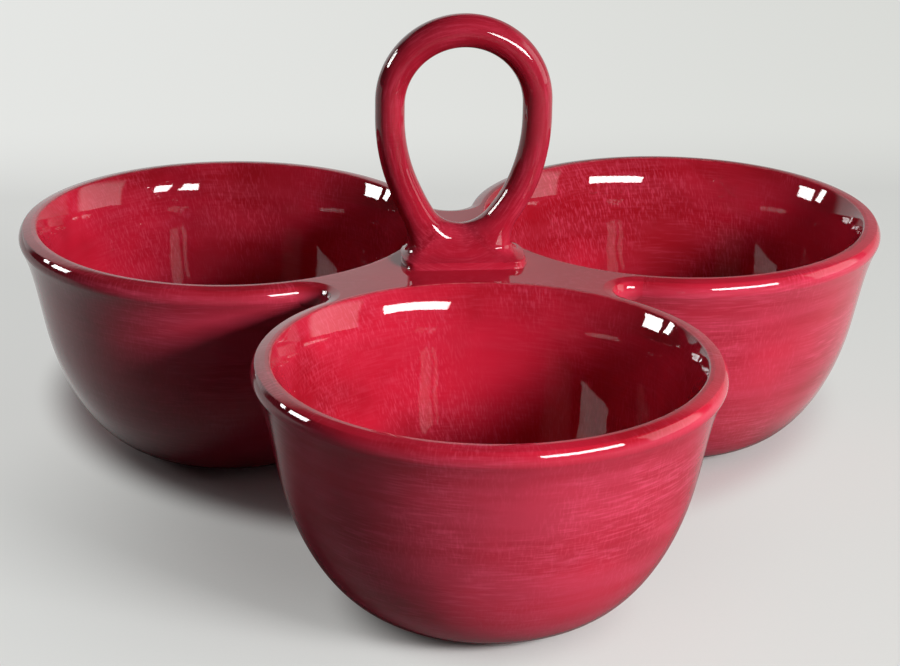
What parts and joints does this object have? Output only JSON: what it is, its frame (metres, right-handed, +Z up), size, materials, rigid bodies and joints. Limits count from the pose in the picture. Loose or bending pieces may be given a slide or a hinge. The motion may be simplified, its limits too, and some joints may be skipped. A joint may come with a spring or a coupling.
{
  "type": "divided serving bowl",
  "caption": "Glazed ceramic server: deep round bowls in a cloverleaf, joined at their rims by a flat web that carries an upright loop handle for carrying dips, nuts or relishes.",
  "frame": {"origin": "on the table, under the middle of the dish's bounding box", "axes": "+Z up, +X to the right along the two rear bowls, +Y from the front bowl towards the rear ones"},
  "size_m": [0.2904, 0.2702, 0.1595],
  "materials": {
    "red_glaze": "glossy crimson glaze"
  },
  "bodies": {
    "root": {"front_bowl": "red_glaze", "left_bowl": "red_glaze", "right_bowl": "red_glaze", "rim_bridge": "red_glaze", "loop_handle": "red_glaze"}
  },
  "joints": []
}
